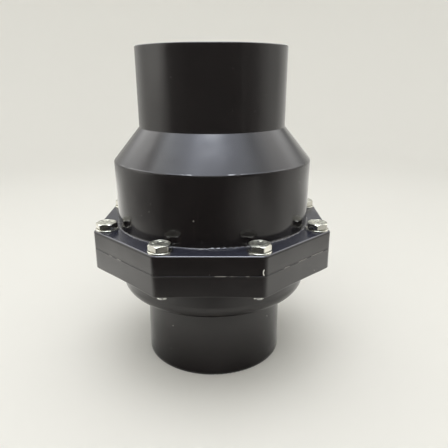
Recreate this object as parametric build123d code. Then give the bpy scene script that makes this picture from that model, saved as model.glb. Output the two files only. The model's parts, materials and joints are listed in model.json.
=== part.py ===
from build123d import *
import math
import os

# Swing check valve for a vertical 110 mm pipe, all sizes in millimetres.
# The flow rises along +Z. The origin is the centre of the inlet mouth, which the valve stands on.

# Pipe sockets
SOCKET_R = 55.1
STOP_R = 50.0
LEAD_IN = 1.5
MOUTH_ROUND = 0.8
INLET_STOP_Z = 52.0
OUTLET_STOP_Z = 215.4

# Outside of the inlet half, from the mouth up to the flange
INLET_MOUTH_R = 62.2
INLET_NECK_R = 61.3
SHOULDER_Z = 62.5
BOWL_R = 83.0
BOWL_ROUND = 13.0

# Octagonal flange, one plate on each half
FLANGE_HALF_WIDTH = 99.0
FLANGE_SIDES = 8
FLANGE_CORNER_ROUND = 6.0
FLANGE_TOP_ROUND = 1.8
FLANGE_FOOT_ROUND = 1.0
PARTING_EDGE_ROUND = 0.4
FLANGE_BOTTOM_Z = 92.3
PARTING_Z = 109.9
FLANGE_TOP_Z = 125.4
FLANGE_CORE_R = 88.0
FLANGE_HOLE_R = 80.0
ROOT_ROUND = 1.4
ARCH_RISE = 0.5
ARCH_HALF_SPAN = 30.0

# Outside of the outlet half, from the flange up to the mouth
CHAMBER_FOOT_R = 83.9
CHAMBER_TOP_R = 84.7
CHAMBER_TOP_Z = 180.3
CHAMBER_ROUND = 2.5
OUTLET_NECK_R = 62.2
CONE_TOP_Z = 207.8
OUTLET_MOUTH_R = 62.8
HEIGHT = 271.4

# Inside of both halves
BOWL_IN_R = 75.5
BOWL_FLOOR_Z = 70.0
CHAMBER_IN_R = 76.5
CHAMBER_IN_TOP_Z = 177.0
NECK_IN_Z = 209.0
LEDGE_R = 69.0
LEDGE_Z = 100.0
POCKET_R = 79.0

# Rubber rings, drawn squeezed into their grooves
BODY_RING_R = 84.5
BODY_GROOVE = (4.8, 3.0)
SEAT_RING_SEAL_R = 74.2
SEAT_GROOVE = (3.6, 2.2)
RING_SIDE_ROOM = 0.2

# Flange bolts, M10
BOLT_CIRCLE_R = 95.6
BOLT_R = 5.0
BOLT_HOLE_R = 5.5
BOLT_LENGTH = 39.0
HEX_10 = 16.0
HEAD_10 = 5.1
HEAD_FACE_R = 7.6
HEAD_SLOPE = 1.73
NUT_10 = 8.0
NUT_BORE_R = 5.02
NUT_POCKET_ROOM = 0.15
NUT_FACE_Z = 102.4
WASHER_R = 9.6
WASHER_HOLE_R = 5.3
WASHER_T = 1.3
HEAD_TURNS = (12.0, 41.0, 3.0, 27.0, 41.0, 12.0, 55.0, 43.0)
NUT_TURN = 30.0

# Seat ring, trapped between the two halves
SEAT_R = 78.9
SEAT_RIM_R = 74.6
SEAT_TOP_Z = 106.0
ORIFICE_R = 46.0
LIP_R = 49.5
LIP_TOP_Z = 107.5

# Hinge
PIVOT_Y = 62.0
PIVOT_Z = 117.0
PIN_R = 4.0
PIN_HALF = 30.0
PIN_CHAMFER = 0.6
CLIP_X = 27.3
CLIP_T = 1.0
CLIP_R = 6.8
CLIP_SLOT = 5.0
GROOVE_R = 3.2
LUG_X = (19.0, 27.0)
LUG_R = 8.0
LUG_HOLE_R = 4.03
BUSH_IN_R = 4.05
BUSH_R = 6.0
BUSH_FLANGE_R = 7.6
BUSH_FLANGE_T = 1.4
BUSH_LENGTH = 14.0
BOSS_HALF = 17.0
BOSS_R = 9.0
OPEN_DEG = 60.0
STOP_GAP = 0.3
HEEL = (16.0, 5.0)

# Flap, closed on the seat
SEAL_GAP = 0.15
SEAL_R = 51.5
SEAL_T = 4.0
DISC_R = 52.5
DISC_T = 8.0
DISC_ROUND = 1.5
DISC_RECESS = (20.0, 45.0, 3.0)
RETAINER_R = 43.5
RETAINER_T = 2.0
ARM_TOP_Z = 126.0
HUB_R = 13.0
STEM_R = 4.0
STEM_HOLE_R = 4.2
HEX_8 = 13.0
HEAD_8 = 5.3
NUT_8 = 6.5
FLAP_WASHER = (8.5, 1.6)
STEM_TOP_Z = 136.5

SEAL_Z = LIP_TOP_Z + SEAL_GAP
DISC_Z = SEAL_Z + SEAL_T
ARM_Z = DISC_Z + DISC_T
RETAINER_Z = SEAL_Z - RETAINER_T
TOUCH = 0.01
PIVOT = (0, PIVOT_Y, PIVOT_Z)
BELOW = (Align.CENTER, Align.CENTER, Align.MAX)
ABOVE = (Align.CENTER, Align.CENTER, Align.MIN)
ACROSS = (0, 90, 0)


def turned(corners):
    """Turn a closed outline of (radius, height, corner rounding) about the valve's axis."""
    points = [(radius, height) for radius, height, _ in corners]
    rounds = [rounding for _, _, rounding in corners]
    outline = FilletPolyline(*points, radius=rounds, close=True)
    return revolve(Plane.XZ * make_face(outline), Axis.Z)


def plain_ring(outer_r, inner_r, low_z, high_z, rounding=0.0):
    """A flat ring round the valve's axis."""
    corners = [(inner_r, low_z), (outer_r, low_z), (outer_r, high_z), (inner_r, high_z)]
    return turned([(radius, height, rounding) for radius, height in corners])


def groove(middle_r, section, face_z):
    """The space of a ring groove sunk below a face."""
    width, depth = section
    return plain_ring(middle_r + width / 2, middle_r - width / 2, face_z - depth, face_z)


def squeezed_ring(middle_r, section, face_z):
    """A rubber ring as it lies in its groove, flattened top and bottom."""
    width, depth = section
    half = width / 2 - RING_SIDE_ROOM
    return plain_ring(middle_r + half, middle_r - half, face_z - depth, face_z, depth / 3)


def hex_prism(across_flats, height, turn):
    """A hexagonal prism standing on the origin."""
    outline = RegularPolygon(across_flats / 2, 6, major_radius=False, rotation=turn)
    return extrude(outline, height)


def bolt_spots():
    """The place of each flange bolt, one under each corner of the octagon."""
    step = 360 / FLANGE_SIDES
    return [
        Rot(0, 0, step * (index + 0.5)) * Pos(BOLT_CIRCLE_R, 0, 0)
        for index in range(FLANGE_SIDES)
    ]


def flange_plate(low_z, high_z):
    """An octagonal plate with rounded corners."""
    turn = 180 / FLANGE_SIDES
    octagon = RegularPolygon(FLANGE_HALF_WIDTH, FLANGE_SIDES, major_radius=False, rotation=turn)
    octagon = fillet(octagon.vertices(), FLANGE_CORNER_ROUND)
    return Pos(0, 0, low_z) * extrude(octagon, high_z - low_z)


def round_rim(plate, low_z, high_z, rounding):
    """Round the edges of the plate's outer wall that lie between two heights."""
    rim = [
        edge
        for edge in plate.edges()
        if low_z - TOUCH <= edge.center().Z <= high_z + TOUCH
        and min(math.hypot(end.X, end.Y) for end in (edge @ 0, edge @ 1)) > FLANGE_HALF_WIDTH - 1
    ]
    return fillet(rim, rounding)


def open_middle(plate):
    """Clear the plate's middle, which the turned shell fills."""
    return plate - Cylinder(FLANGE_HOLE_R, 2 * HEIGHT)


def arches():
    """Shallow hollows that lift the flange's underside between the bolts."""
    radius = (ARCH_HALF_SPAN**2 + ARCH_RISE**2) / (2 * ARCH_RISE)
    drum = Cylinder(radius, FLANGE_HALF_WIDTH, align=ABOVE)
    middle = Pos(0, 0, FLANGE_BOTTOM_Z + ARCH_RISE - radius)
    step = 360 / FLANGE_SIDES
    return [
        Rot(0, 0, step * index) * middle * Pos(FLANGE_CORE_R / 2, 0, 0) * Rot(*ACROSS) * drum
        for index in range(FLANGE_SIDES)
    ]


def inlet_flange():
    """The lower flange plate, hollowed a little between the bolts."""
    plate = flange_plate(FLANGE_BOTTOM_Z, PARTING_Z)
    for arch in arches():
        plate -= arch
    plate = round_rim(plate, FLANGE_BOTTOM_Z, FLANGE_BOTTOM_Z + ARCH_RISE, FLANGE_FOOT_ROUND)
    return open_middle(round_rim(plate, PARTING_Z, PARTING_Z, PARTING_EDGE_ROUND))


def outlet_flange():
    """The upper flange plate."""
    plate = flange_plate(PARTING_Z, FLANGE_TOP_Z)
    plate = round_rim(plate, FLANGE_TOP_Z, FLANGE_TOP_Z, FLANGE_TOP_ROUND)
    return open_middle(round_rim(plate, PARTING_Z, PARTING_Z, PARTING_EDGE_ROUND))


def inlet_body():
    """The lower half: inlet socket, bowl, flange plate, and the pocket that holds the seat ring."""
    shell = turned([
        (SOCKET_R, LEAD_IN, 0),
        (SOCKET_R + LEAD_IN, 0, 0),
        (INLET_MOUTH_R, 0, MOUTH_ROUND),
        (INLET_NECK_R, SHOULDER_Z, ROOT_ROUND),
        (BOWL_R, SHOULDER_Z, BOWL_ROUND),
        (BOWL_R, FLANGE_BOTTOM_Z + ARCH_RISE, 0),
        (FLANGE_CORE_R, FLANGE_BOTTOM_Z + ARCH_RISE, 0),
        (FLANGE_CORE_R, PARTING_Z, 0),
        (POCKET_R, PARTING_Z, 0),
        (POCKET_R, LEDGE_Z, 0),
        (LEDGE_R, LEDGE_Z, 0),
        (LEDGE_R, LEDGE_Z - 5, 2),
        (BOWL_IN_R, LEDGE_Z - 11, 2),
        (BOWL_IN_R, BOWL_FLOOR_Z, 6),
        (STOP_R + 12, BOWL_FLOOR_Z, 2),
        (STOP_R, BOWL_FLOOR_Z - 12, 2),
        (STOP_R, INLET_STOP_Z, 0),
        (SOCKET_R, INLET_STOP_Z, 0),
    ])
    body = shell + inlet_flange()
    body -= groove(BODY_RING_R, BODY_GROOVE, PARTING_Z)
    body -= groove(SEAT_RING_SEAL_R, SEAT_GROOVE, LEDGE_Z)
    pocket = hex_prism(HEX_10 + 2 * NUT_POCKET_ROOM, 2 * NUT_10, NUT_TURN)
    for spot in bolt_spots():
        body -= spot * Cylinder(BOLT_HOLE_R, HEIGHT)
        body -= spot * Pos(0, 0, NUT_FACE_Z - 2 * NUT_10) * pocket
    return body


def outlet_body():
    """The upper half: flange plate, flap chamber, cone and outlet socket."""
    shell = turned([
        (CHAMBER_IN_R, PARTING_Z, 0),
        (FLANGE_CORE_R, PARTING_Z, 0),
        (FLANGE_CORE_R, FLANGE_TOP_Z, 0),
        (CHAMBER_FOOT_R, FLANGE_TOP_Z, ROOT_ROUND),
        (CHAMBER_TOP_R, CHAMBER_TOP_Z, CHAMBER_ROUND),
        (OUTLET_NECK_R, CONE_TOP_Z, MOUTH_ROUND),
        (OUTLET_MOUTH_R, HEIGHT, MOUTH_ROUND),
        (SOCKET_R + LEAD_IN, HEIGHT, 0),
        (SOCKET_R, HEIGHT - LEAD_IN, 0),
        (SOCKET_R, OUTLET_STOP_Z, 0),
        (STOP_R, OUTLET_STOP_Z, 0),
        (STOP_R, NECK_IN_Z, 3),
        (CHAMBER_IN_R, CHAMBER_IN_TOP_Z, 4),
    ])
    body = shell + outlet_flange()
    for spot in bolt_spots():
        body -= spot * Cylinder(BOLT_HOLE_R, HEIGHT)
    return body


def seat_ring():
    """The seat plate with its raised lip, its rim, and the two lugs that hold the hinge pin."""
    ring = turned([
        (ORIFICE_R, LEDGE_Z, 1),
        (SEAT_R, LEDGE_Z, 0),
        (SEAT_R, PARTING_Z, 0),
        (SEAT_RIM_R, PARTING_Z, 0),
        (SEAT_RIM_R, SEAT_TOP_Z, 0),
        (LIP_R + 1, SEAT_TOP_Z, 0),
        (LIP_R, LIP_TOP_Z, 0.4),
        (ORIFICE_R, LIP_TOP_Z, 0.4),
    ])
    thick = LUG_X[1] - LUG_X[0]
    foot_z = (LEDGE_Z + SEAT_TOP_Z) / 2
    for side in (-1, 1):
        middle_x = side * (LUG_X[0] + LUG_X[1]) / 2
        post = Box(thick, 2 * LUG_R, PIVOT_Z - foot_z, align=BELOW)
        ring += Pos(middle_x, PIVOT_Y, PIVOT_Z) * post
        ring += Pos(middle_x, PIVOT_Y, PIVOT_Z) * Rot(*ACROSS) * Cylinder(LUG_R, thick)
    return ring - Pos(*PIVOT) * Rot(*ACROSS) * Cylinder(LUG_HOLE_R, 2 * SEAT_R)


def body_oring():
    """The ring that seals the two halves."""
    return squeezed_ring(BODY_RING_R, BODY_GROOVE, PARTING_Z)


def seat_oring():
    """The ring that seals under the seat ring."""
    return squeezed_ring(SEAT_RING_SEAL_R, SEAT_GROOVE, LEDGE_Z)


def hinge_pin():
    """The pin across the lugs, grooved near each end for its clip."""
    pin = Cylinder(PIN_R, 2 * PIN_HALF)
    pin = chamfer(pin.edges().filter_by(GeomType.CIRCLE), PIN_CHAMFER)
    ring = Cylinder(PIN_R + 1, CLIP_T + 0.2) - Cylinder(GROOVE_R, CLIP_T + 0.2)
    for side in (-1, 1):
        pin -= Pos(0, 0, side * (CLIP_X + CLIP_T / 2)) * ring
    return Pos(*PIVOT) * Rot(*ACROSS) * pin


def pin_clip(side):
    """A spring clip pushed sideways into a groove of the pin."""
    clip = Cylinder(CLIP_R, CLIP_T) - Cylinder(GROOVE_R + 0.05, CLIP_T)
    clip -= Pos(CLIP_R / 2, 0, 0) * Box(CLIP_R, CLIP_SLOT, CLIP_T)
    middle_x = side * (CLIP_X + CLIP_T / 2)
    return Pos(middle_x, PIVOT_Y, PIVOT_Z) * Rot(*ACROSS) * Rot(0, 0, 180) * clip


def flange_bolts():
    """Eight hexagon bolts, heads on the upper plate."""
    under_head_z = FLANGE_TOP_Z + WASHER_T
    bevel = Cone(HEAD_FACE_R + HEAD_SLOPE * HEAD_10, HEAD_FACE_R, HEAD_10, align=ABOVE)
    bolts = []
    for spot, turn in zip(bolt_spots(), HEAD_TURNS):
        head = hex_prism(HEX_10, HEAD_10, turn) & bevel
        shank = Cylinder(BOLT_R, BOLT_LENGTH, align=BELOW)
        shank = chamfer(shank.edges().group_by(Axis.Z)[0], 1.0)
        bolts.append(spot * Pos(0, 0, under_head_z) * (head + shank))
    return bolts


def flange_washers():
    """Eight plain washers under the bolt heads."""
    washer = Cylinder(WASHER_R, WASHER_T, align=ABOVE)
    washer = chamfer(washer.edges().group_by(Axis.Z)[-1], 0.25)
    washer -= Cylinder(WASHER_HOLE_R, 4 * WASHER_T)
    return [spot * Pos(0, 0, FLANGE_TOP_Z) * washer for spot in bolt_spots()]


def flange_nuts():
    """Eight nuts sunk in the pockets of the lower plate."""
    nut = hex_prism(HEX_10, NUT_10, NUT_TURN) - Cylinder(NUT_BORE_R, 4 * NUT_10)
    return [spot * Pos(0, 0, NUT_FACE_Z - NUT_10) * nut for spot in bolt_spots()]


def flap_arm():
    """The swinging arm: hinge boss, tapered bar, hub over the disc, and the heel that stops it."""
    boss = Pos(*PIVOT) * Rot(*ACROSS) * Cylinder(BOSS_R, 2 * BOSS_HALF)
    thick = ARM_TOP_Z - ARM_Z
    bar = Polyline(
        (-BOSS_HALF, PIVOT_Y), (BOSS_HALF, PIVOT_Y), (HUB_R, 0), (-HUB_R, 0), close=True
    )
    arm = boss + Pos(0, 0, ARM_Z) * extrude(make_face(bar), thick)
    arm += Pos(0, 0, ARM_Z) * Cylinder(HUB_R, thick, align=ABOVE)
    reach = PIVOT_Z - SEAT_TOP_Z - STOP_GAP
    heel = Pos(0, PIVOT_Y + HEEL[1] / 2, PIVOT_Z) * Box(HEEL[0], HEEL[1], reach, align=BELOW)
    arm += heel.rotate(Axis(PIVOT, (1, 0, 0)), OPEN_DEG)
    arm -= Pos(*PIVOT) * Rot(*ACROSS) * Cylinder(BUSH_R, 4 * BOSS_HALF)
    return arm - Cylinder(STEM_HOLE_R, 2 * HEIGHT)


def pivot_bush(side):
    """A flanged bush pressed into one end of the arm's boss."""
    sleeve = Cylinder(BUSH_R, BUSH_LENGTH, align=BELOW)
    flange = Cylinder(BUSH_FLANGE_R, BUSH_FLANGE_T, align=ABOVE)
    bush = sleeve + flange - Cylinder(BUSH_IN_R, 4 * BUSH_LENGTH)
    turn = Rot(0, 90 * side, 0)
    return Pos(side * BOSS_HALF, PIVOT_Y, PIVOT_Z) * turn * bush


def flap_disc():
    """The round plate that covers the orifice."""
    inner_r, outer_r, depth = DISC_RECESS
    top_z = ARM_Z
    return turned([
        (STEM_HOLE_R, DISC_Z, 0),
        (DISC_R, DISC_Z, DISC_ROUND),
        (DISC_R, top_z, DISC_ROUND),
        (outer_r, top_z, 0.5),
        (outer_r - 1, top_z - depth, 1),
        (inner_r + 1, top_z - depth, 1),
        (inner_r, top_z, 0.5),
        (STEM_HOLE_R, top_z, 0),
    ])


def flap_seal():
    """The rubber sheet that closes on the seat's lip."""
    return plain_ring(SEAL_R, STEM_HOLE_R, SEAL_Z, DISC_Z)


def seal_retainer():
    """The thin steel plate that holds the rubber against the disc."""
    plate = plain_ring(RETAINER_R, STEM_HOLE_R, RETAINER_Z, SEAL_Z)
    return chamfer(plate.edges().group_by(Axis.Z)[0].sort_by(SortBy.LENGTH)[-1], 0.5)


def flap_bolt():
    """The bolt up through the flap, its head below the retaining plate."""
    head = Pos(0, 0, RETAINER_Z - HEAD_8) * hex_prism(HEX_8, HEAD_8, 0)
    stem = Cylinder(STEM_R, STEM_TOP_Z - RETAINER_Z, align=ABOVE)
    stem = chamfer(stem.edges().group_by(Axis.Z)[-1], 0.8)
    return head + Pos(0, 0, RETAINER_Z) * stem


def flap_washer():
    """The washer under the flap's nut."""
    radius, thick = FLAP_WASHER
    return plain_ring(radius, STEM_HOLE_R, ARM_TOP_Z, ARM_TOP_Z + thick)


def flap_nut():
    """The nut that clamps arm, disc, rubber and plate together."""
    nut = hex_prism(HEX_8, NUT_8, 0) - Cylinder(STEM_R, 4 * NUT_8)
    return Pos(0, 0, ARM_TOP_Z + FLAP_WASHER[1]) * nut


PIECES = {
    "inlet_body": inlet_body(),
    "outlet_body": outlet_body(),
    "body_oring": body_oring(),
    "seat_ring": seat_ring(),
    "seat_oring": seat_oring(),
    "hinge_pin": hinge_pin(),
    "pin_clip_left": pin_clip(-1),
    "pin_clip_right": pin_clip(1),
    "flange_bolts": flange_bolts(),
    "flange_washers": flange_washers(),
    "flange_nuts": flange_nuts(),
    "flap_arm": flap_arm(),
    "pivot_bush_left": pivot_bush(-1),
    "pivot_bush_right": pivot_bush(1),
    "flap_disc": flap_disc(),
    "flap_seal": flap_seal(),
    "seal_retainer": seal_retainer(),
    "flap_bolt": flap_bolt(),
    "flap_washer": flap_washer(),
    "flap_nut": flap_nut(),
}

os.makedirs("parts", exist_ok=True)
for name, piece in PIECES.items():
    shapes = piece if isinstance(piece, list) else [piece]
    solids = [solid for shape in shapes for solid in shape.solids()]
    export_step(Compound(children=solids), f"parts/{name}.step")
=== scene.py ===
import json
import math

import bpy
from mathutils import Matrix, Vector


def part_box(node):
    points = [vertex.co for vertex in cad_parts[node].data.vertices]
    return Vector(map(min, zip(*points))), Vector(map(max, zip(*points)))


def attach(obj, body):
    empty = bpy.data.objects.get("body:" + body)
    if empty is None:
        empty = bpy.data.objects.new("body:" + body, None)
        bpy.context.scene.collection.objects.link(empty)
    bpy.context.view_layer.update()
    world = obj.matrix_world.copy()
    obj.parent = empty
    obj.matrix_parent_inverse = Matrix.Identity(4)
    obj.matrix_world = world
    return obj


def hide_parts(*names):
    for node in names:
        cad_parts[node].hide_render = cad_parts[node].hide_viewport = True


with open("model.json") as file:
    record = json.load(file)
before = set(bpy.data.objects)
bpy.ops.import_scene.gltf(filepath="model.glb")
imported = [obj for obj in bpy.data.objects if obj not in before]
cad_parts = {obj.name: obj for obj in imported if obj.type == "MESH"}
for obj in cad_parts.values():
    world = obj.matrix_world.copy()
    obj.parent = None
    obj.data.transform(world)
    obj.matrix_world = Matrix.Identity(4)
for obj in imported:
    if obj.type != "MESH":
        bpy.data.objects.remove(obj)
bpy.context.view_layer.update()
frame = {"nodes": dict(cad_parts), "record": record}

MM = 0.001

# Fastener sizes, in metres
HEX_10 = 16 * MM
NUT_10 = 8.0 * MM
WASHER_10_OUTER = 9.6 * MM
WASHER_10_BORE = 5.3 * MM
HEX_8 = 13 * MM
HEAD_8 = 5.3 * MM
NUT_8 = 6.5 * MM
WASHER_8_BORE = 4.2 * MM
BORE_BEVEL = 0.5 * MM

# Thread radius and pitch, then a thread's depth as a share of its pitch
THREAD_10 = (5.0 * MM, 1.5 * MM)
THREAD_8 = (4.0 * MM, 1.25 * MM)
THREAD_DEPTH = 0.55

# The slope that bevels hexagon corners, and the angle from which an edge is drawn sharp
CHAMFER_SLOPE = math.tan(math.radians(30))
SHARP_EDGE = math.radians(28)

# The flange's corners, and how far each bolt head and nut there is turned from facing outward, in degrees
CORNER_SIDES = 8
HEAD_TURNS = (12.0, 41.0, 3.0, 27.0, 41.0, 12.0, 55.0, 43.0)
NUT_TURN = 30.0

# A bolt head's dish, and the raised marks round it, which spell nothing: 1 where the ring is raised
DISH = 0.16 * MM
MARKS = "1101011001101110101100101"
MARK_HEIGHT = 0.18 * MM

# Where the foot of the chamber meets the flange
FOOT_R = 85.2 * MM

# The small knock on the front of the flange, at its right-hand corner just above the seam, with its
# crescent painted pale as a glint: its middle, its half sizes, and where its rim lies as a share of them
NICK_X = 40.0 * MM
NICK_RISE = 3.0 * MM
NICK_HALF = (1.1 * MM, 3.0 * MM, 2.3 * MM)
NICK_RIM = 0.85

# The ridge left round the foot of the cone
RIDGE_Z = 181.0 * MM

# Colours, in linear light. A pair is mixed by noise
UPVC = ((0.0092, 0.0076, 0.0078, 1), (0.0134, 0.0112, 0.0114, 1))
# painted bluish sheen on upward faces, over a film of fine dust
UPVC_DUST_AND_SHEEN = (0.15, 0.17, 0.27, 1)
UPVC_HAIRLINE = (0.2, 0.2, 0.2, 1)
# painted glint on the crescent of the knock
UPVC_NICK_GLINT = (0.75, 0.74, 0.70, 1)
# dust, and painted glints in the seam and round the chamber's foot
DUST_AND_GLINT = (0.42, 0.41, 0.38, 1)
INNER_UPVC = ((0.016, 0.0165, 0.018, 1), (0.026, 0.0265, 0.028, 1))
INNER_WEAR = (0.07, 0.07, 0.072, 1)
RUBBER = ((0.014, 0.014, 0.014, 1), (0.045, 0.044, 0.042, 1))
BOLT_STEEL = ((0.72, 0.71, 0.64, 1), (0.50, 0.49, 0.43, 1))
INNER_STEEL = ((0.66, 0.65, 0.63, 1), (0.50, 0.49, 0.47, 1))
# painted shade: a darker mottled colour for the bolt heads' tops
STAMPED_AND_SHADED = ((0.52, 0.51, 0.43, 1), (0.25, 0.245, 0.21, 1))
GRIME = (0.10, 0.09, 0.08, 1)
# painted glint: near-white colour for the bolt tips below the flange
TIP_GLINT = (0.93, 0.93, 0.91, 1)
BUSH = ((0.62, 0.60, 0.53, 1), (0.72, 0.70, 0.64, 1))
PAPER = (0.82, 0.815, 0.785, 1)

# Camera: angles in degrees, place in metres
LENS = 37.63
SENSOR = 36.0
NEAREST = 0.01
CAMERA_AT = Vector((0.01304, -0.41093, 0.24969))
HEADING = -0.433
PITCH = 17.73
ROLL = -0.12

# The floor and the backdrop it curves up into
FLOOR_RADII = (0.001, 0.3, 0.7, 1.05)
CURVE_R = 0.7
CURVE_STEPS = 12
BACKDROP_TOP = 2.4
SWEEP_SIDES = 128

# Studio light: each area light's place, aim, size and radiance, then the light from all round
OVERHEAD = ((-0.05, 0.0, 1.45), (-0.05, 0, 0), (1.2, 1.2), 1.40)
FRONT_FILL = ((-0.15, -0.98, 0.85), (0, 0, 0.1), (1.6, 0.9), 0.85)
WORLD_STRENGTH = 0.96
LIGHT_COLOUR = (1.0, 0.995, 0.98)

# Tints of what the gloss reflects, and the degrees between the columns of its mesh
WARM = (1.0, 0.985, 0.93)
NEUTRAL = (1.0, 0.995, 0.985)
COOL = (0.90, 0.94, 1.0)
BLUE = (0.83, 0.88, 1.0)
GLOW_STEP = 2

# What the gloss reflects: the brightness at each azimuth, counted from the camera's side of the valve
# and positive to the right
CONTACT = ((-180, 0.35), (-95, 0.55), (-60, 0.28), (-30, 0.05), (30, 0.05), (60, 0.28), (95, 0.55),
           (180, 0.35))
CLOSE = ((-180, 0.5), (-130, 0.85), (-95, 0.90), (-60, 0.78), (-40, 0.62), (-20, 0.42), (0, 0.32),
         (20, 0.38), (40, 0.54), (60, 0.66), (95, 0.75), (130, 0.7), (180, 0.5))
NEAR = ((-180, 0.9), (-130, 1.7), (-95, 1.6), (-78, 1.4), (-62, 1.25), (-48, 1.0), (-27, 0.52),
        (-10, 0.28), (0, 0.23), (10, 0.29), (27, 0.52), (48, 0.88), (62, 1.1), (78, 1.3), (95, 1.35),
        (130, 1.3), (180, 0.9))
TABLE_EDGE = ((-180, 0.9), (-130, 1.6), (-95, 1.45), (-78, 1.0), (-55, 0.32), (-32, 0.03), (0, 0.02),
              (18, 0.06), (40, 0.34), (62, 0.75), (88, 1.3), (130, 1.3), (180, 0.9))
FLOOR = ((-180, 0.9), (-158, 1.2), (-128, 1.2), (-110, 0.85), (-94, 0.68), (-70, 0.38), (-48, 0.05),
         (0, 0.005), (12, 0.04), (28, 0.30), (48, 0.62), (60, 0.60), (72, 0.50), (84, 0.75), (94, 0.80),
         (110, 0.58), (128, 0.68), (158, 1.0), (180, 0.9))
FAR = ((-180, 0.9), (-158, 1.2), (-128, 1.1), (-110, 0.78), (-94, 0.60), (-70, 0.32), (-48, 0.03),
       (0, 0.005), (12, 0.03), (28, 0.26), (48, 0.54), (58, 0.26), (70, 0.34), (82, 0.70), (94, 0.85),
       (110, 0.92), (128, 1.0), (158, 1.0), (180, 0.9))
WALL_FOOT = ((-180, 0.45), (-158, 0.50), (-128, 0.72), (-110, 0.74), (-94, 0.92), (-82, 0.98), (-70, 0.66),
             (-58, 0.18), (-30, 0.085), (0, 0.08), (36, 0.085), (44, 0.11), (48, 0.28), (52, 0.13),
             (70, 0.30), (82, 0.58), (94, 0.75), (110, 0.72), (128, 0.85), (158, 0.80), (180, 0.5))
WALL = ((-180, 0.45), (-158, 0.50), (-128, 0.80), (-112, 0.74), (-97, 1.15), (-80, 1.45), (-70, 1.0),
        (-60, 0.22), (-30, 0.085), (0, 0.08), (36, 0.085), (44, 0.11), (48, 0.30), (52, 0.13),
        (70, 0.34), (82, 0.64), (94, 0.80), (110, 0.66), (128, 0.80), (158, 0.80), (180, 0.5))
LOW_WALL = ((-180, 0.4), (-150, 0.55), (-128, 1.2), (-94, 1.4), (-70, 0.5), (-50, 0.1), (0, 0.06),
            (44, 0.1), (70, 0.35), (94, 1.0), (128, 0.8), (150, 0.25), (180, 0.4))
MID_WALL = ((-180, 0.8), (-155, 1.0), (-131, 2.7), (-118, 2.0), (-94, 2.1), (-70, 1.0), (-50, 0.15),
            (0, 0.08), (44, 0.15), (70, 0.7), (94, 1.6), (126, 2.1), (155, 0.7), (180, 0.8))
HIGH_WALL = ((-180, 1.6), (-162, 3.4), (-134, 3.4), (-118, 2.8), (-109, 2.6), (-102, 1.4), (-92, 1.3),
             (-86, 2.3), (-70, 1.8), (-50, 0.7), (0, 0.45), (44, 0.6), (70, 1.3), (94, 1.8), (115, 2.0),
             (134, 3.2), (162, 3.0), (180, 1.6))
CEILING_EDGE = ((-180, 1.2), (-150, 3.0), (-120, 2.6), (-98, 3.1), (-89, 3.8), (-80, 3.1), (-66, 2.5),
                (0, 1.6), (44, 1.6), (66, 1.75), (76, 1.6), (86, 1.35), (94, 1.75), (120, 2.2), (150, 2.8),
                (180, 1.2))
CEILING = ((-180, 1.0), (-130, 1.4), (-94, 3.7), (-66, 3.5), (-52, 3.4), (-40, 4.0), (-28, 4.1), (-10, 3.4),
           (10, 3.25), (30, 3.05), (50, 3.0), (66, 3.1), (94, 2.6), (130, 1.4), (180, 1.0))
LAMP_EDGE = ((-180, 1.0), (-120, 1.2), (-80, 4.0), (-40, 5.9), (0, 5.8), (40, 5.1), (80, 3.6), (120, 1.2),
             (180, 1.0))
LAMP = ((-180, 2.0), (-120, 2.5), (-70, 8.0), (0, 10.0), (70, 8.0), (120, 2.5), (180, 2.0))
LAMP_BAR = ((-180, 9.0), (-110, 9.0), (-60, 15.0), (60, 15.0), (110, 9.0), (180, 9.0))

# Radius, height, cover, tint and table of each row of the studio, from the floor up to the lamp
GLOW_ROWS = (
    (0.0635, 0.001, 0.90, WARM, CONTACT),
    (0.085, 0.001, 0.58, WARM, CONTACT),
    (0.11, 0.001, 0.36, WARM, CONTACT),
    (0.14, 0.001, 0.30, WARM, CLOSE),
    (0.17, 0.001, 0.40, WARM, CLOSE),
    (0.22, 0.001, 0.7, WARM, NEAR),
    (0.31, 0.001, 1.0, WARM, NEAR),
    (0.37, 0.001, 1.0, WARM, TABLE_EDGE),
    (0.50, 0.001, 1.0, WARM, FLOOR),
    (0.72, 0.001, 1.0, WARM, FAR),
    (0.95, 0.001, 1.0, WARM, WALL_FOOT),
    (0.95, 0.15, 1.0, WARM, WALL_FOOT),
    (0.95, 0.24, 1.0, WARM, WALL),
    (0.95, 0.34, 1.0, WARM, WALL),
    (0.95, 0.46, 1.0, NEUTRAL, LOW_WALL),
    (0.95, 0.67, 1.0, NEUTRAL, MID_WALL),
    (0.95, 0.99, 1.0, NEUTRAL, HIGH_WALL),
    (0.92, 1.42, 1.0, COOL, CEILING_EDGE),
    (0.60, 1.50, 1.0, BLUE, CEILING),
    (0.50, 1.50, 1.0, BLUE, LAMP_EDGE),
    (0.42, 1.50, 1.0, COOL, LAMP),
    (0.34, 1.50, 1.0, COOL, LAMP_BAR),
    (0.001, 1.50, 1.0, COOL, LAMP_BAR),
)


# ---------------------------------------------------------------- materials

# Which sockets of a Mix node are the ones for colours
COLOUR_MIX_SHARE = 0
COLOUR_MIX_FIRST = 6
COLOUR_MIX_SECOND = 7
COLOUR_MIX_RESULT = 2


def feed(tree, socket, value):
    """Give a socket another node's output, or else a number or a colour."""
    if isinstance(value, bpy.types.NodeSocket):
        tree.links.new(value, socket)
    else:
        socket.default_value = value


def node(tree, kind, inputs=None, **settings):
    """Add a shader node. An input's value is a number, a colour or another node's output."""
    made = tree.nodes.new(kind)
    for name, value in settings.items():
        setattr(made, name, value)
    for name, value in (inputs or {}).items():
        feed(tree, made.inputs[name], value)
    return made


def new_material(name, **fixed):
    """A material with one Principled shader, whose uniform values are set straight on it."""
    material = bpy.data.materials.new(name)
    material.use_nodes = True
    shader = material.node_tree.nodes["Principled BSDF"]
    for socket, value in fixed.items():
        shader.inputs[socket.replace("_", " ")].default_value = value
    return material, material.node_tree, shader


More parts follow.
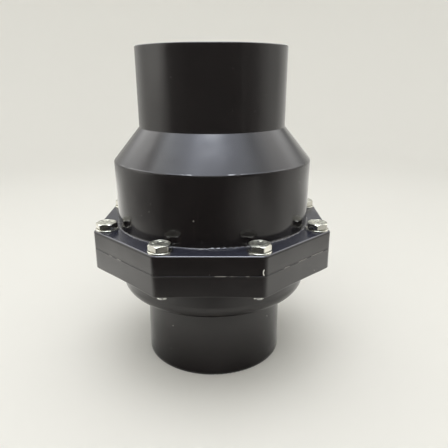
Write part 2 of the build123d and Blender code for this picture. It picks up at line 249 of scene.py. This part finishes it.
def place(tree):
    """The point on the piece, in metres from the valve's origin at rest."""
    return node(tree, "ShaderNodeTexCoord").outputs["Object"]


def stretched(tree, point, scale):
    """The point with each axis scaled, to draw a texture out along one of them."""
    return node(tree, "ShaderNodeMapping", {"Vector": point, "Scale": scale}).outputs["Vector"]


def noise(tree, point, size_mm, detail=3.0, rough=0.55):
    """Cloudy noise whose features are about size_mm across, from 0 to 1."""
    inputs = {"Vector": point, "Scale": 1000 / size_mm, "Detail": detail, "Roughness": rough}
    return node(tree, "ShaderNodeTexNoise", inputs).outputs["Fac"]


def ramp(tree, value, low, high, to_low=0.0, to_high=1.0):
    """Map the range low to high onto another, held at its ends."""
    inputs = {"Value": value, "From Min": low, "From Max": high, "To Min": to_low, "To Max": to_high}
    return node(tree, "ShaderNodeMapRange", inputs, interpolation_type="SMOOTHSTEP").outputs["Result"]


def maths(tree, operation, first, second=0.0):
    """One arithmetic step on two values."""
    return node(tree, "ShaderNodeMath", {0: first, 1: second}, operation=operation).outputs["Value"]


def blend_colour(tree, share, first, second):
    """Mix two colours by a share from 0 to 1."""
    inputs = {COLOUR_MIX_SHARE: share, COLOUR_MIX_FIRST: first, COLOUR_MIX_SECOND: second}
    return node(tree, "ShaderNodeMix", inputs, data_type="RGBA").outputs[COLOUR_MIX_RESULT]


def bump(tree, height, depth_mm, below=None):
    """A bump whose height of 1 stands depth_mm proud, laid over an earlier bump."""
    inputs = {"Height": height, "Distance": depth_mm * MM, "Strength": 1.0}
    if below is not None:
        inputs["Normal"] = below
    return node(tree, "ShaderNodeBump", inputs).outputs["Normal"]


def specks(tree, point, spacing_mm, size_mm, share):
    """Sparse round specks: 1 on a speck and 0 elsewhere. share is how many of the cells have one."""
    cells = node(tree, "ShaderNodeTexVoronoi", {"Vector": point, "Scale": 1000 / spacing_mm})
    radius = size_mm / spacing_mm
    dot = ramp(tree, cells.outputs["Distance"], radius * 0.6, radius, 1.0, 0.0)
    chosen = node(tree, "ShaderNodeSeparateColor", {"Color": cells.outputs["Color"]}).outputs["Red"]
    return maths(tree, "MULTIPLY", dot, maths(tree, "LESS_THAN", chosen, share))


def scratches(tree, point, turn, spacing_mm, share):
    """Fine hairlines that come and go, all running roughly one way."""
    inputs = {"Vector": point, "Rotation": turn, "Scale": (1.0, 1.0, 0.06)}
    turned_point = node(tree, "ShaderNodeMapping", inputs).outputs["Vector"]
    field = noise(tree, turned_point, spacing_mm, 1.0)
    line = ramp(tree, maths(tree, "ABSOLUTE", maths(tree, "SUBTRACT", field, 0.5)), 0.0, 0.006, 1.0, 0.0)
    patch = ramp(tree, noise(tree, point, spacing_mm * 3, 2.0), 1 - share, 1.02 - share)
    return maths(tree, "MULTIPLY", line, patch)


def vector_length(tree, vector):
    """How long a vector is."""
    return node(tree, "ShaderNodeVectorMath", {0: vector}, operation="LENGTH").outputs["Value"]


def near_height(tree, point, height, reach_mm):
    """1 at a given height above the valve's foot, fading to 0 over reach_mm to each side."""
    level = node(tree, "ShaderNodeSeparateXYZ", {"Vector": point}).outputs["Z"]
    away = maths(tree, "ABSOLUTE", maths(tree, "SUBTRACT", level, height))
    return ramp(tree, away, 0.0, reach_mm * MM, 1.0, 0.0)


def near_radius(tree, point, radius, reach_mm):
    """1 at a given distance from the valve's axis, fading to 0 over reach_mm to each side."""
    distance = vector_length(tree, stretched(tree, point, (1.0, 1.0, 0.0)))
    away = maths(tree, "ABSOLUTE", maths(tree, "SUBTRACT", distance, radius))
    return ramp(tree, away, 0.0, reach_mm * MM, 1.0, 0.0)


def seam_dust_and_glints(tree, point):
    """Pale marks in the seam between the halves and round the foot of the chamber: dust, and painted glints
    of light on those edges.
    """
    seam = near_height(tree, point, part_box("inlet_body")[1].z, 0.45)
    seam_patches = ramp(tree, noise(tree, point, 17, 2.0), 0.51, 0.60, 0.0, 0.85)
    flange_top = near_height(tree, point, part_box("flange_washers")[0].z, 1.2)
    foot = maths(tree, "MULTIPLY", flange_top, near_radius(tree, point, FOOT_R, 0.9))
    foot_patches = ramp(tree, noise(tree, point, 5, 4.0, 0.7), 0.48, 0.70, 0.0, 0.7)
    seam = maths(tree, "MULTIPLY", seam, seam_patches)
    foot = maths(tree, "MULTIPLY", foot, foot_patches)
    return maths(tree, "MAXIMUM", seam, foot)


def nick_dent_and_glint_mask(tree, point):
    """1 on the crescent of a small knock on the front of the flange, which is painted pale as a glint, 0
    elsewhere.
    """
    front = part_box("outlet_body")[0].y
    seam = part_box("inlet_body")[1].z
    middle = (NICK_X, front, seam + NICK_RISE)
    away = node(tree, "ShaderNodeVectorMath", {0: point, 1: middle}, operation="SUBTRACT").outputs["Vector"]
    away = stretched(tree, away, tuple(1 / half for half in NICK_HALF))
    off_rim = maths(tree, "ABSOLUTE", maths(tree, "SUBTRACT", vector_length(tree, away), NICK_RIM))
    rim = ramp(tree, off_rim, 0.18, 0.40, 1.0, 0.0)
    side = node(tree, "ShaderNodeSeparateXYZ", {"Vector": away}).outputs["X"]
    left_half = ramp(tree, side, -0.35, 0.05, 1.0, 0.0)
    return maths(tree, "MULTIPLY", rim, left_half)


def ridge(tree, point):
    """The broken ridge round the foot of the cone."""
    line = near_height(tree, point, RIDGE_Z, 0.75)
    return maths(tree, "MULTIPLY", line, ramp(tree, noise(tree, point, 19, 2.0), 0.47, 0.56))


def upward_dust_and_sheen(tree, grain):
    """The film on faces that look up: fine dust, tinted bluish as a painted sheen of the light from above.
    0 on the others.
    """
    normal = node(tree, "ShaderNodeNewGeometry").outputs["Normal"]
    facing_up = node(tree, "ShaderNodeSeparateXYZ", {"Vector": normal}).outputs["Z"]
    return maths(tree, "MULTIPLY", ramp(tree, facing_up, 0.6, 1.0), ramp(tree, grain, 0.35, 0.8, 0.4, 1.0))


def black_upvc():
    """Glossy moulded black uPVC: flow marks, polish haze, hairlines, dust, a nick and a ridge, with painted
    glints on the seam, the chamber's foot and the nick, and a painted bluish sheen on upward faces.
    """
    material, tree, shader = new_material("black_upvc", IOR=1.58)
    point = place(tree)
    cloud = noise(tree, point, 38, 3.0)
    grain = noise(tree, point, 0.9, 2.0)
    haze = ramp(tree, noise(tree, point, 16, 4.0, 0.65), 0.45, 0.75)
    flow = noise(tree, stretched(tree, point, (1.0, 1.0, 0.10)), 6, 2.0)
    hairs = scratches(tree, point, (0.5, 0.3, 0.0), 9, 0.42)
    dust = maths(tree, "MAXIMUM", specks(tree, point, 12.0, 0.5, 0.2), specks(tree, point, 2.8, 0.17, 0.06))
    # dust specks, and painted glints in the seam and round the chamber's foot
    dust_and_glints = maths(tree, "MAXIMUM", dust, seam_dust_and_glints(tree, point))
    # the crescent of the knock: a shallow dent, painted pale as a glint
    nick_dent_and_glint = nick_dent_and_glint_mask(tree, point)
    # upward faces get a dust film tinted as a painted bluish sheen
    dust_sheen = upward_dust_and_sheen(tree, grain)
    colour = blend_colour(tree, cloud, *UPVC)
    colour = blend_colour(tree, maths(tree, "MULTIPLY", dust_sheen, 0.30), colour, UPVC_DUST_AND_SHEEN)
    colour = blend_colour(tree, maths(tree, "MULTIPLY", hairs, 0.04), colour, UPVC_HAIRLINE)
    colour = blend_colour(tree, dust_and_glints, colour, DUST_AND_GLINT)
    colour = blend_colour(tree, nick_dent_and_glint, colour, UPVC_NICK_GLINT)
    tree.links.new(colour, shader.inputs["Base Color"])
    rough = maths(tree, "ADD", 0.14, maths(tree, "MULTIPLY", haze, 0.07))
    rough = maths(tree, "ADD", rough, maths(tree, "MULTIPLY", hairs, 0.10))
    rough = maths(tree, "ADD", rough, maths(tree, "MULTIPLY", dust_sheen, 0.05))
    rough = maths(tree, "MAXIMUM", rough, maths(tree, "MULTIPLY", dust_and_glints, 0.8))
    tree.links.new(rough, shader.inputs["Roughness"])
    seam_edge = near_height(tree, point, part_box("inlet_body")[1].z, 1.4)
    ragged = maths(tree, "MULTIPLY", seam_edge, noise(tree, point, 2.2, 3.0, 0.7))
    relief = bump(tree, noise(tree, point, 26, 1.0), 0.30)
    relief = bump(tree, flow, 0.012, relief)
    relief = bump(tree, ragged, 0.12, relief)
    relief = bump(tree, grain, 0.0016, relief)
    relief = bump(tree, hairs, -0.002, relief)
    relief = bump(tree, dust_and_glints, 0.05, relief)
    relief = bump(tree, ridge(tree, point), 0.16, relief)
    relief = bump(tree, nick_dent_and_glint, -0.08, relief)
    tree.links.new(relief, shader.inputs["Normal"])
    return material


def inner_upvc():
    """The machined inner pieces: satin black with faint turning marks."""
    material, tree, shader = new_material("black_upvc_inner", IOR=1.54)
    point = place(tree)
    cloud = noise(tree, point, 14, 4.0)
    grain = noise(tree, point, 0.7, 2.0)
    inputs = {"Vector": point, "Scale": 260.0, "Distortion": 0.6, "Detail": 1.0}
    rings = node(tree, "ShaderNodeTexWave", inputs, wave_type="RINGS", rings_direction="Z").outputs["Fac"]
    wear = ramp(tree, noise(tree, point, 5, 4.0, 0.7), 0.55, 0.8)
    colour = blend_colour(tree, cloud, *INNER_UPVC)
    worn = blend_colour(tree, maths(tree, "MULTIPLY", wear, 0.25), colour, INNER_WEAR)
    tree.links.new(worn, shader.inputs["Base Color"])
    tree.links.new(ramp(tree, cloud, 0.2, 0.8, 0.32, 0.46), shader.inputs["Roughness"])
    relief = bump(tree, rings, 0.006)
    relief = bump(tree, grain, 0.004, relief)
    tree.links.new(relief, shader.inputs["Normal"])
    return material


def rubber():
    """Moulded black rubber with a dull bloom."""
    material, tree, shader = new_material("epdm_rubber", IOR=1.5)
    point = place(tree)
    bloom = ramp(tree, noise(tree, point, 9, 5.0, 0.7), 0.4, 0.75)
    grain = noise(tree, point, 0.5, 3.0)
    colour = blend_colour(tree, maths(tree, "MULTIPLY", bloom, 0.5), *RUBBER)
    tree.links.new(colour, shader.inputs["Base Color"])
    tree.links.new(ramp(tree, bloom, 0.0, 1.0, 0.55, 0.8), shader.inputs["Roughness"])
    tree.links.new(bump(tree, grain, 0.012), shader.inputs["Normal"])
    return material


def head_top(tree, point):
    """1 on the tops of the flange bolts' heads, 0 elsewhere."""
    return ramp(tree, near_height(tree, point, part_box("flange_bolts")[1].z, 0.6), 0.3, 0.6)


def tip_glint_mask(tree, point):
    """1 on what shows below the flange, the tips of its bolts, which are coloured near white as a painted
    glint, 0 elsewhere.
    """
    level = node(tree, "ShaderNodeSeparateXYZ", {"Vector": point}).outputs["Z"]
    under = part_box("flange_nuts")[0].z
    return ramp(tree, level, under - 1.0 * MM, under, 1.0, 0.0)


def stainless(name, tones, rough_range, flange=False):
    """Cold-formed stainless steel with drag marks and grime. On the flange, duller stamped head tops with a
    darker colour painted as shade, and tips painted near white as a glint.
    """
    material, tree, shader = new_material(name, Metallic=1.0)
    point = place(tree)
    blotch = noise(tree, point, 4, 4.0, 0.65)
    drag = noise(tree, stretched(tree, point, (1.0, 1.0, 7.0)), 1.6, 3.0)
    pits = specks(tree, point, 1.3, 0.12, 0.18)
    tarnish = ramp(tree, blotch, 0.42, 0.75)
    colour = blend_colour(tree, maths(tree, "MULTIPLY", tarnish, 0.6), *tones)
    polish = maths(tree, "ADD", maths(tree, "MULTIPLY", drag, 0.5), maths(tree, "MULTIPLY", blotch, 0.5))
    rough = ramp(tree, polish, 0.3, 0.7, *rough_range)
    if flange:
        # the head tops: a duller stamped finish, with a darker colour painted as shade
        dull_and_shaded = head_top(tree, point)
        mottle = ramp(tree, noise(tree, point, 2.2, 3.0), 0.42, 0.62)
        colour = blend_colour(tree, dull_and_shaded, colour, blend_colour(tree, mottle, *STAMPED_AND_SHADED))
        rough = maths(tree, "MAXIMUM", rough, maths(tree, "MULTIPLY", dull_and_shaded, 0.40))
    colour = blend_colour(tree, maths(tree, "MULTIPLY", pits, 0.7), colour, GRIME)
    # the bolt tips below the flange get a painted glint
    if flange:
        colour = blend_colour(tree, tip_glint_mask(tree, point), colour, TIP_GLINT)
    tree.links.new(colour, shader.inputs["Base Color"])
    tree.links.new(rough, shader.inputs["Roughness"])
    relief = bump(tree, blotch, 0.03)
    relief = bump(tree, drag, 0.006, relief)
    relief = bump(tree, pits, -0.02, relief)
    tree.links.new(relief, shader.inputs["Normal"])
    return material


def acetal():
    """Off-white bush plastic."""
    material, tree, shader = new_material("bush_plastic", IOR=1.48, Subsurface_Weight=0.1)
    point = place(tree)
    cloud = noise(tree, point, 5, 3.0)
    grain = noise(tree, point, 0.6, 2.0)
    colour = blend_colour(tree, cloud, *BUSH)
    tree.links.new(colour, shader.inputs["Base Color"])
    tree.links.new(ramp(tree, cloud, 0.2, 0.8, 0.35, 0.5), shader.inputs["Roughness"])
    tree.links.new(bump(tree, grain, 0.004), shader.inputs["Normal"])
    return material


MATERIALS = {
    "black_upvc": black_upvc(),
    "black_upvc_inner": inner_upvc(),
    "epdm_rubber": rubber(),
    "stainless_bolts": stainless("stainless_bolts", BOLT_STEEL, (0.14, 0.27), flange=True),
    "stainless_steel": stainless("stainless_steel", INNER_STEEL, (0.2, 0.38)),
    "bush_plastic": acetal(),
}


def dress_cad_nodes():
    """Give every CAD node the finish of its own material slot."""
    for part in frame["record"]["subparts"]:
        frame["nodes"][part["node"]].material_slots[0].material = MATERIALS[part["material_slot"]]


# ---------------------------------------------------------------- fasteners


def hexagon_radius(angle, across_flats):
    """Distance from the middle to a hexagon's side, with its corners slightly rounded."""
    within = (angle % (math.pi / 3)) - math.pi / 6
    return min(across_flats / 2 / math.cos(within), across_flats / 2 * 1.135)


def ring_mesh(name, rings, close_low=True, close_high=True):
    """Join rings of points, lowest first, into one closed skin."""
    count = len(rings[0])
    points = [point for ring in rings for point in ring]
    faces = []
    for level in range(len(rings) - 1):
        for index in range(count):
            after = (index + 1) % count
            low, high = level * count, (level + 1) * count
            faces.append((low + index, low + after, high + after, high + index))
    if close_low:
        faces.append(tuple(reversed(range(count))))
    if close_high:
        faces.append(tuple(range((len(rings) - 1) * count, len(rings) * count)))
    mesh = bpy.data.meshes.new(name)
    mesh.from_pydata(points, [], faces)
    mesh.shade_smooth()
    mesh.set_sharp_from_angle(angle=SHARP_EDGE)
    return mesh


def circle(radius, height, count):
    """A level ring of points."""
    angles = [2 * math.pi * index / count for index in range(count)]
    return [(radius * math.cos(angle), radius * math.sin(angle), height) for angle in angles]


def hexagon_ring(across_flats, height, shrink, count):
    """A level ring of points on a hexagon, drawn in by shrink."""
    ring = []
    for index in range(count):
        angle = 2 * math.pi * index / count
        radius = hexagon_radius(angle, across_flats) - shrink
        ring.append((radius * math.cos(angle), radius * math.sin(angle), height))
    return ring


def bevelled_ring(across_flats, top, face_radius, direction, count):
    """Where a hexagon's sides meet the cone that bevels its top (direction 1) or its foot (-1)."""
    ring = []
    for index in range(count):
        angle = 2 * math.pi * index / count
        radius = hexagon_radius(angle, across_flats)
        drop = max(radius - face_radius, 0) * CHAMFER_SLOPE
        ring.append((radius * math.cos(angle), radius * math.sin(angle), top - direction * drop))
    return ring


def marked_ring(radius, height, count):
    """A level ring that lifts over the raised marks on a bolt head."""
    ring = []
    for index in range(count):
        angle = 2 * math.pi * index / count
        lift = MARK_HEIGHT * int(MARKS[index * len(MARKS) // count])
        ring.append((radius * math.cos(angle), radius * math.sin(angle), height + lift))
    return ring


def head_rings(across_flats, height, count=100):
    """The rings of a hexagon head from its washer face up to the dished and marked top."""
    half = across_flats / 2
    face = 0.965 * half
    floor = height - DISH
    return [
        circle(0.9 * half, 0, count),
        circle(0.93 * half, 0.35 * MM, count),
        hexagon_ring(across_flats, 0.4 * MM, 0.25 * MM, count),
        hexagon_ring(across_flats, 0.65 * MM, 0, count),
        bevelled_ring(across_flats, height, face, 1, count),
        circle(face, height, count),
        circle(0.85 * half, height, count),
        circle(0.82 * half, floor, count),
        circle(0.72 * half, floor, count),
        marked_ring(0.70 * half, floor, count),
        marked_ring(0.50 * half, floor, count),
        circle(0.47 * half, floor, count),
        circle(0.10 * half, height - 1.15 * DISH, count),
    ]


def thread_rings(radius, pitch, low, high, count=36, steps=8):
    """The rings of a screw thread between two heights, with a bevelled tip at the lower end."""
    depth = THREAD_DEPTH * pitch
    crest_width, flank_slope, tip_slope = 1.6, 4.2, 0.8
    rings = []
    total = int((high - low) / pitch * steps)
    for level in range(total + 1):
        height = low + level * pitch / steps
        tip_limit = radius - depth + (height - low) * tip_slope
        ring = []
        for index in range(count):
            angle = 2 * math.pi * index / count
            turn = (height / pitch - angle / (2 * math.pi)) % 1.0
            crest = min(1.0, max(0.0, crest_width - flank_slope * abs(turn - 0.5)))
            reach = min(radius - depth * (1 - crest), tip_limit)
            ring.append((reach * math.cos(angle), reach * math.sin(angle), height))
        rings.append(ring)
    return rings


def join_meshes(name, meshes):
    """One mesh that holds several closed skins."""
    points, faces = [], []
    for mesh in meshes:
        base = len(points)
        points += [tuple(vertex.co) for vertex in mesh.vertices]
        faces += [tuple(base + index for index in polygon.vertices) for polygon in mesh.polygons]
        bpy.data.meshes.remove(mesh)
    joined = bpy.data.meshes.new(name)
    joined.from_pydata(points, [], faces)
    joined.shade_smooth()
    joined.set_sharp_from_angle(angle=SHARP_EDGE)
    return joined


def bolt_mesh(name, across_flats, head, thread, length):
    """A hexagon bolt, its head standing on the origin and its thread running down."""
    radius, pitch = thread
    top = ring_mesh(name, head_rings(across_flats, head))
    shank = ring_mesh(name, thread_rings(radius, pitch, -length, 0.1 * MM))
    return join_meshes(name, [top, shank])


def nut_mesh(name, across_flats, height, bore, count=96):
    """A hexagon nut bevelled on both faces, standing on the origin."""
    half = across_flats / 2
    face = 0.95 * half
    rings = [
        circle(bore + BORE_BEVEL, 0, count),
        circle(face, 0, count),
        bevelled_ring(across_flats, 0, face, -1, count),
        bevelled_ring(across_flats, height, face, 1, count),
        circle(face, height, count),
        circle(bore + BORE_BEVEL, height, count),
        circle(bore, height - BORE_BEVEL, count),
        circle(bore, BORE_BEVEL, count),
        circle(bore + BORE_BEVEL, 0, count),
    ]
    return ring_mesh(name, rings, close_low=False, close_high=False)


def washer_mesh(name, outer, inner, thick, count=96):
    """A punched washer: upper edge rolled over, lower edge square."""
    roll = 0.3 * thick
    rings = [
        circle(inner, 0, count),
        circle(outer, 0, count),
        circle(outer, thick - 1.6 * roll, count),
        circle(outer - 0.3 * roll, thick - 0.6 * roll, count),
        circle(outer - 1.1 * roll, thick - 0.1 * roll, count),
        circle(outer - 2.0 * roll, thick, count),
        circle(inner + 0.4 * roll, thick, count),
        circle(inner, thick - 0.4 * roll, count),
        circle(inner, 0, count),
    ]
    return ring_mesh(name, rings, close_low=False, close_high=False)


def corner_places(cad_node):
    """The middle of each of a node's eight solids, one under each corner of the flange."""
    step = 2 * math.pi / CORNER_SIDES
    sectors = [[] for _ in range(CORNER_SIDES)]
    for vertex in frame["nodes"][cad_node].data.vertices:
        angle = math.atan2(vertex.co.y, vertex.co.x) % (2 * math.pi)
        sectors[int(angle / step)].append(vertex.co)
    middles = []
    for points in sectors:
        low = Vector((min(p.x for p in points), min(p.y for p in points)))
        high = Vector((max(p.x for p in points), max(p.y for p in points)))
        middles.append((low + high) / 2)
    return middles


def stand(name, mesh, at, turn_degrees, slot, body, *stands_for):
    """Place a piece, give it its finish, tie it to its body and hide the CAD nodes it stands for."""
    mesh.transform(Matrix.Translation(at) @ Matrix.Rotation(math.radians(turn_degrees), 4, "Z"))
    mesh.materials.append(MATERIALS[slot])
    piece = bpy.data.objects.new(name, mesh)
    bpy.context.scene.collection.objects.link(piece)
    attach(piece, body)
    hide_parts(*stands_for)


def flange_fasteners():
    """Bolts, washers and nuts at the eight corners of the flange."""
    washer_low, washer_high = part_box("flange_washers")
    bolt_low, bolt_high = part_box("flange_bolts")
    nut_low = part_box("flange_nuts")[0]
    thick = washer_high.z - washer_low.z
    head = bolt_high.z - washer_high.z
    length = washer_high.z - bolt_low.z
    for index, middle in enumerate(corner_places("flange_washers")):
        azimuth = (index + 0.5) * 360 / CORNER_SIDES
        label = str(index + 1)
        bolt = bolt_mesh("flange_bolt_" + label, HEX_10, head, THREAD_10, length)
        at = (middle.x, middle.y, washer_high.z)
        turn = azimuth + HEAD_TURNS[index]
        stand("flange_bolt_" + label, bolt, at, turn, "stainless_bolts", "casing", "flange_bolts")
        washer = washer_mesh("flange_washer_" + label, WASHER_10_OUTER, WASHER_10_BORE, thick)
        at = (middle.x, middle.y, washer_low.z)
        stand("flange_washer_" + label, washer, at, 0, "stainless_bolts", "casing", "flange_washers")
        nut = nut_mesh("flange_nut_" + label, HEX_10, NUT_10, THREAD_10[0])
        at = (middle.x, middle.y, nut_low.z)
        turn = azimuth + NUT_TURN
        stand("flange_nut_" + label, nut, at, turn, "stainless_bolts", "casing", "flange_nuts")


def flap_fasteners():
    """The bolt, washer and nut that clamp the flap together."""
    bolt_low, bolt_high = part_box("flap_bolt")
    washer_low, washer_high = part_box("flap_washer")
    nut_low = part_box("flap_nut")[0]
    length = bolt_high.z - bolt_low.z - HEAD_8
    bolt = bolt_mesh("flap_bolt_turned", HEX_8, HEAD_8, THREAD_8, length)
    bolt.transform(Matrix.Rotation(math.pi, 4, "X"))
    at = (0, 0, bolt_low.z + HEAD_8)
    stand("flap_bolt_turned", bolt, at, 0, "stainless_steel", "flap", "flap_bolt")
    thick = washer_high.z - washer_low.z
    washer = washer_mesh("flap_washer_rolled", washer_high.x, WASHER_8_BORE, thick)
    at = (0, 0, washer_low.z)
    stand("flap_washer_rolled", washer, at, 0, "stainless_steel", "flap", "flap_washer")
    nut = nut_mesh("flap_nut_bevelled", HEX_8, NUT_8, THREAD_8[0])
    at = (0, 0, nut_low.z)
    stand("flap_nut_bevelled", nut, at, 0, "stainless_steel", "flap", "flap_nut")


# ---------------------------------------------------------------- studio


def sweep():
    """The pale floor, which curves up into a backdrop all round."""
    profile = [(radius, 0.0) for radius in FLOOR_RADII]
    flat = FLOOR_RADII[-1]
    for step in range(1, CURVE_STEPS + 1):
        angle = math.radians(90 * step / CURVE_STEPS)
        profile.append((flat + CURVE_R * math.sin(angle), CURVE_R * (1 - math.cos(angle))))
    profile.append((flat + CURVE_R, BACKDROP_TOP))
    rings = [circle(radius, height, SWEEP_SIDES) for radius, height in profile]
    mesh = ring_mesh("sweep", rings, close_high=False)
    paper = new_material("paper", Base_Color=PAPER, Roughness=0.9, Specular_IOR_Level=0.1)[0]
    mesh.materials.append(paper)
    piece = bpy.data.objects.new("sweep", mesh)
    bpy.context.scene.collection.objects.link(piece)


def between(pairs, at):
    """Read a table of (place, value) pairs at one place, in straight lines between them."""
    for (low, first), (high, second) in zip(pairs, pairs[1:]):
        if at <= high:
            return first + (second - first) * (at - low) / (high - low)
    return pairs[-1][1]


def glow_finish():
    """A light that takes its colour from the mesh, and lets the scene show where its cover is 0."""
    material = bpy.data.materials.new("studio_glow")
    material.use_nodes = True
    tree = material.node_tree
    tree.nodes.clear()
    colour = node(tree, "ShaderNodeAttribute", attribute_name="glow").outputs["Color"]
    cover = node(tree, "ShaderNodeAttribute", attribute_name="cover").outputs["Fac"]
    lamp = node(tree, "ShaderNodeEmission", {"Color": colour, "Strength": 1.0})
    clear = node(tree, "ShaderNodeBsdfTransparent")
    mix = node(tree, "ShaderNodeMixShader", {"Fac": cover})
    output = node(tree, "ShaderNodeOutputMaterial")
    tree.links.new(clear.outputs[0], mix.inputs[1])
    tree.links.new(lamp.outputs[0], mix.inputs[2])
    tree.links.new(mix.outputs[0], output.inputs["Surface"])
    return material


def studio_glow():
    """The studio as the gloss sees it: bright at the sides and overhead, dark behind the camera.

    It is seen by reflections alone: it lights nothing and the camera doesn't see it.
    """
    points, faces, glows, covers = [], [], [], []
    columns = 360 // GLOW_STEP + 1
    for radius, height, cover, tint, table in GLOW_ROWS:
        for column in range(columns):
            azimuth = column * GLOW_STEP - 180
            angle = math.radians(azimuth - 90)
            points.append((radius * math.cos(angle), radius * math.sin(angle), height))
            level = between(table, azimuth)
            glows.append([level * part for part in tint] + [1.0])
            covers.append(cover)
    for row in range(len(GLOW_ROWS) - 1):
        for column in range(columns - 1):
            low, high = row * columns + column, (row + 1) * columns + column
            faces.append((low, low + 1, high + 1, high))
    mesh = bpy.data.meshes.new("studio_glow")
    mesh.from_pydata(points, [], faces)
    colours = mesh.attributes.new("glow", "FLOAT_COLOR", "POINT")
    colours.data.foreach_set("color", [part for glow in glows for part in glow])
    mesh.attributes.new("cover", "FLOAT", "POINT").data.foreach_set("value", covers)
    mesh.materials.append(glow_finish())
    piece = bpy.data.objects.new("studio_glow", mesh)
    bpy.context.scene.collection.objects.link(piece)
    piece.visible_camera = False
    piece.visible_diffuse = False
    piece.visible_transmission = False
    piece.visible_volume_scatter = False
    piece.visible_shadow = False


def area_light(name, at, aim, size, radiance):
    """A soft rectangular light that faces a point and stays out of the reflections."""
    data = bpy.data.lights.new(name, "AREA")
    data.shape = "RECTANGLE"
    data.size, data.size_y = size
    data.energy = radiance * math.pi * size[0] * size[1]
    data.color = LIGHT_COLOUR
    light = bpy.data.objects.new(name, data)
    bpy.context.scene.collection.objects.link(light)
    light.location = at
    light.rotation_euler = (Vector(at) - Vector(aim)).to_track_quat("Z", "Y").to_euler()
    light.visible_camera = False
    light.visible_glossy = False


def lights():
    """A broad soft light overhead and a weaker one from the front."""
    area_light("overhead", *OVERHEAD)
    area_light("front_fill", *FRONT_FILL)


def surroundings():
    """Even pale light from all round, which comes in over the backdrop."""
    world = bpy.data.worlds.new("surroundings")
    bpy.context.scene.world = world
    world.use_nodes = True
    background = world.node_tree.nodes["Background"]
    background.inputs["Color"].default_value = (*LIGHT_COLOUR, 1)
    background.inputs["Strength"].default_value = WORLD_STRENGTH


def camera():
    """The camera, at the viewing angle of a person who stands close and looks slightly down."""
    data = bpy.data.cameras.new("camera")
    data.lens = LENS
    data.sensor_width = SENSOR
    data.clip_start = NEAREST
    eye = bpy.data.objects.new("camera", data)
    bpy.context.scene.collection.objects.link(eye)
    turn = Matrix.Rotation(math.radians(-HEADING), 4, "Z")
    tilt = Matrix.Rotation(math.radians(90 - PITCH), 4, "X")
    roll = Matrix.Rotation(math.radians(ROLL), 4, "Z")
    eye.matrix_world = Matrix.Translation(CAMERA_AT) @ turn @ tilt @ roll
    bpy.context.scene.camera = eye


dress_cad_nodes()
flange_fasteners()
flap_fasteners()
sweep()
studio_glow()
lights()
surroundings()
camera()
bpy.context.scene.view_settings.view_transform = "Standard"

bpy.context.view_layer.update()
